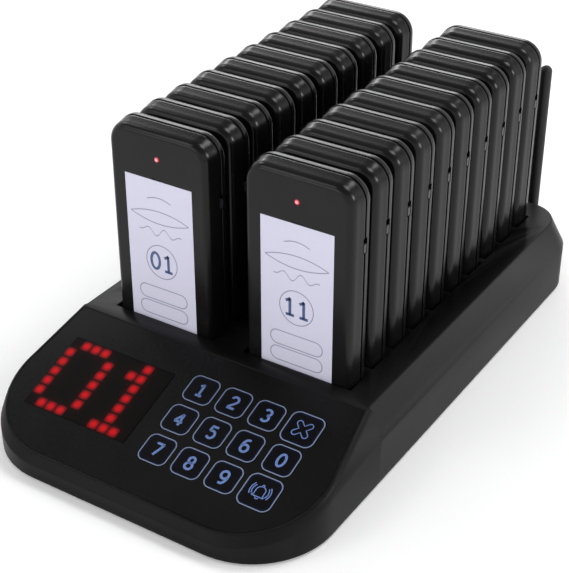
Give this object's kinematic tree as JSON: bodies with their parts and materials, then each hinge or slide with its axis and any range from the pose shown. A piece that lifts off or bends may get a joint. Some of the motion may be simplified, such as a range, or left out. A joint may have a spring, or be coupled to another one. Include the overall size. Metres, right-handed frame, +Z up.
{
  "type": "guest pager system",
  "caption": "Tabletop keypad base with a dot-matrix display and two rows of slots that hold and charge upright handheld guest pagers.",
  "frame": {"origin": "on the table under the middle of the box round the whole object, antenna included", "axes": "+Z up, the sloping keypad faces -Y, the two rows of pagers run along Y on either side of X = 0"},
  "size_m": [0.152, 0.2784, 0.1225],
  "materials": {
    "housing_black": "fine satin texture",
    "panel_gloss": "polished",
    "window_smoke": "polished smoke tint",
    "display_module": "matt",
    "key_black": "polished",
    "legend_blue": "printed ink",
    "display_red": "lit dots",
    "circuit_board": "solder mask",
    "component_black": "moulded",
    "rocker_black": "polished",
    "contact_gold": "gold plated",
    "connector_brass": "plated",
    "antenna_black": "satin",
    "foot_rubber": "matt",
    "screw_steel": "zinc plated",
    "pager_black": "satin with polished edges",
    "label_paper": "printed paper",
    "label_print": "printed ink",
    "lamp_red": "lit lamp",
    "battery_foil": "foil pouch",
    "switch_knob": "moulded"
  },
  "bodies": {
    "housing": {"top_cover": "housing_black", "bottom_cover": "housing_black", "control_panel": "panel_gloss", "display_window": "window_smoke", "led_matrix": "display_module", "keypad_board": "circuit_board", "key_switches": "component_black", "main_board": "circuit_board", "charging_boards": "circuit_board", "charge_pins": "contact_gold", "buzzer": "component_black", "power_jack": "component_black", "switch_body": "component_black", "antenna_connector": "connector_brass", "rubber_feet": "foot_rubber", "case_screws": "screw_steel", "board_screws": "screw_steel"},
    "antenna_base": {"antenna_knuckle": "antenna_black"},
    "antenna_whip": {"antenna_rod": "antenna_black"},
    "rocker": {"power_rocker": "rocker_black"},
    "pager_01": {"pager_01_front_shell": "pager_black", "pager_01_back_shell": "pager_black", "pager_01_label": "label_paper", "pager_01_lamp": "lamp_red", "pager_01_board": "circuit_board", "pager_01_battery": "battery_foil", "pager_01_motor": "screw_steel", "pager_01_contacts": "contact_gold"},
    "pager_01_slider": {"pager_01_switch": "switch_knob"},
    "key_1_cap": {"key_1": "key_black"},
    "key_2_cap": {"key_2": "key_black"},
    "key_3_cap": {"key_3": "key_black"},
    "key_cancel_cap": {"key_cancel": "key_black"},
    "key_4_cap": {"key_4": "key_black"},
    "key_5_cap": {"key_5": "key_black"},
    "key_6_cap": {"key_6": "key_black"},
    "key_0_cap": {"key_0": "key_black"},
    "key_7_cap": {"key_7": "key_black"},
    "key_8_cap": {"key_8": "key_black"},
    "key_9_cap": {"key_9": "key_black"},
    "key_call_cap": {"key_call": "key_black"},
    "pager_02": {"pager_02": "pager_black"},
    "pager_03": {"pager_03": "pager_black"},
    "pager_04": {"pager_04": "pager_black"},
    "pager_05": {"pager_05": "pager_black"},
    "pager_06": {"pager_06": "pager_black"},
    "pager_07": {"pager_07": "pager_black"},
    "pager_08": {"pager_08": "pager_black"},
    "pager_09": {"pager_09": "pager_black"},
    "pager_10": {"pager_10": "pager_black"},
    "pager_11": {"pager_11": "pager_black"},
    "pager_12": {"pager_12": "pager_black"},
    "pager_13": {"pager_13": "pager_black"},
    "pager_14": {"pager_14": "pager_black"},
    "pager_15": {"pager_15": "pager_black"},
    "pager_16": {"pager_16": "pager_black"},
    "pager_17": {"pager_17": "pager_black"},
    "pager_18": {"pager_18": "pager_black"},
    "pager_19": {"pager_19": "pager_black"},
    "pager_20": {"pager_20": "pager_black"}
  },
  "joints": [
    {"name": "antenna_swivel", "type": "hinge", "parent": "housing", "child": "antenna_base", "pos_m": [0.048, 0.13467, 0.012], "axis": [0, 1, 0], "range_deg": [-90, 90]},
    {"name": "antenna_tilt", "type": "hinge", "parent": "antenna_base", "child": "antenna_whip", "pos_m": [0.048, 0.13467, 0.012], "axis": [1, 0, 0], "range_deg": [-90, 0]},
    {"name": "power_rock", "type": "hinge", "parent": "housing", "child": "rocker", "pos_m": [-0.018, 0.12477, 0.0104], "axis": [0, 0, 1], "range_deg": [-14, 0]},
    {"name": "pager_01_switch_slide", "type": "slide", "parent": "pager_01", "child": "pager_01_slider", "axis": [0, 0, 1], "range_m": [0, 0.0024]},
    {"name": "key_1_press", "type": "slide", "parent": "housing", "child": "key_1_cap", "axis": [0, 0.319, -0.9478], "range_m": [0, 0.0004], "stiffness_N_per_m": 600, "springref_m": -0.0003},
    {"name": "key_2_press", "type": "slide", "parent": "housing", "child": "key_2_cap", "axis": [0, 0.319, -0.9478], "range_m": [0, 0.0004], "stiffness_N_per_m": 600, "springref_m": -0.0003},
    {"name": "key_3_press", "type": "slide", "parent": "housing", "child": "key_3_cap", "axis": [0, 0.319, -0.9478], "range_m": [0, 0.0004], "stiffness_N_per_m": 600, "springref_m": -0.0003},
    {"name": "key_cancel_press", "type": "slide", "parent": "housing", "child": "key_cancel_cap", "axis": [0, 0.319, -0.9478], "range_m": [0, 0.0004], "stiffness_N_per_m": 600, "springref_m": -0.0003},
    {"name": "key_4_press", "type": "slide", "parent": "housing", "child": "key_4_cap", "axis": [0, 0.319, -0.9478], "range_m": [0, 0.0004], "stiffness_N_per_m": 600, "springref_m": -0.0003},
    {"name": "key_5_press", "type": "slide", "parent": "housing", "child": "key_5_cap", "axis": [0, 0.319, -0.9478], "range_m": [0, 0.0004], "stiffness_N_per_m": 600, "springref_m": -0.0003},
    {"name": "key_6_press", "type": "slide", "parent": "housing", "child": "key_6_cap", "axis": [0, 0.319, -0.9478], "range_m": [0, 0.0004], "stiffness_N_per_m": 600, "springref_m": -0.0003},
    {"name": "key_0_press", "type": "slide", "parent": "housing", "child": "key_0_cap", "axis": [0, 0.319, -0.9478], "range_m": [0, 0.0004], "stiffness_N_per_m": 600, "springref_m": -0.0003},
    {"name": "key_7_press", "type": "slide", "parent": "housing", "child": "key_7_cap", "axis": [0, 0.319, -0.9478], "range_m": [0, 0.0004], "stiffness_N_per_m": 600, "springref_m": -0.0003},
    {"name": "key_8_press", "type": "slide", "parent": "housing", "child": "key_8_cap", "axis": [0, 0.319, -0.9478], "range_m": [0, 0.0004], "stiffness_N_per_m": 600, "springref_m": -0.0003},
    {"name": "key_9_press", "type": "slide", "parent": "housing", "child": "key_9_cap", "axis": [0, 0.319, -0.9478], "range_m": [0, 0.0004], "stiffness_N_per_m": 600, "springref_m": -0.0003},
    {"name": "key_call_press", "type": "slide", "parent": "housing", "child": "key_call_cap", "axis": [0, 0.319, -0.9478], "range_m": [0, 0.0004], "stiffness_N_per_m": 600, "springref_m": -0.0003},
    {"name": "pager_01_lift", "type": "slide", "parent": "housing", "child": "pager_01", "axis": [0, 0, 1], "range_m": [0, 0.12]},
    {"name": "pager_02_lift", "type": "slide", "parent": "housing", "child": "pager_02", "axis": [0, 0, 1], "range_m": [0, 0.12]},
    {"name": "pager_03_lift", "type": "slide", "parent": "housing", "child": "pager_03", "axis": [0, 0, 1], "range_m": [0, 0.12]},
    {"name": "pager_04_lift", "type": "slide", "parent": "housing", "child": "pager_04", "axis": [0, 0, 1], "range_m": [0, 0.12]},
    {"name": "pager_05_lift", "type": "slide", "parent": "housing", "child": "pager_05", "axis": [0, 0, 1], "range_m": [0, 0.12]},
    {"name": "pager_06_lift", "type": "slide", "parent": "housing", "child": "pager_06", "axis": [0, 0, 1], "range_m": [0, 0.12]},
    {"name": "pager_07_lift", "type": "slide", "parent": "housing", "child": "pager_07", "axis": [0, 0, 1], "range_m": [0, 0.12]},
    {"name": "pager_08_lift", "type": "slide", "parent": "housing", "child": "pager_08", "axis": [0, 0, 1], "range_m": [0, 0.12]},
    {"name": "pager_09_lift", "type": "slide", "parent": "housing", "child": "pager_09", "axis": [0, 0, 1], "range_m": [0, 0.12]},
    {"name": "pager_10_lift", "type": "slide", "parent": "housing", "child": "pager_10", "axis": [0, 0, 1], "range_m": [0, 0.12]},
    {"name": "pager_11_lift", "type": "slide", "parent": "housing", "child": "pager_11", "axis": [0, 0, 1], "range_m": [0, 0.12]},
    {"name": "pager_12_lift", "type": "slide", "parent": "housing", "child": "pager_12", "axis": [0, 0, 1], "range_m": [0, 0.12]},
    {"name": "pager_13_lift", "type": "slide", "parent": "housing", "child": "pager_13", "axis": [0, 0, 1], "range_m": [0, 0.12]},
    {"name": "pager_14_lift", "type": "slide", "parent": "housing", "child": "pager_14", "axis": [0, 0, 1], "range_m": [0, 0.12]},
    {"name": "pager_15_lift", "type": "slide", "parent": "housing", "child": "pager_15", "axis": [0, 0, 1], "range_m": [0, 0.12]},
    {"name": "pager_16_lift", "type": "slide", "parent": "housing", "child": "pager_16", "axis": [0, 0, 1], "range_m": [0, 0.12]},
    {"name": "pager_17_lift", "type": "slide", "parent": "housing", "child": "pager_17", "axis": [0, 0, 1], "range_m": [0, 0.12]},
    {"name": "pager_18_lift", "type": "slide", "parent": "housing", "child": "pager_18", "axis": [0, 0, 1], "range_m": [0, 0.12]},
    {"name": "pager_19_lift", "type": "slide", "parent": "housing", "child": "pager_19", "axis": [0, 0, 1], "range_m": [0, 0.12]},
    {"name": "pager_20_lift", "type": "slide", "parent": "housing", "child": "pager_20", "axis": [0, 0, 1], "range_m": [0, 0.12]}
  ]
}
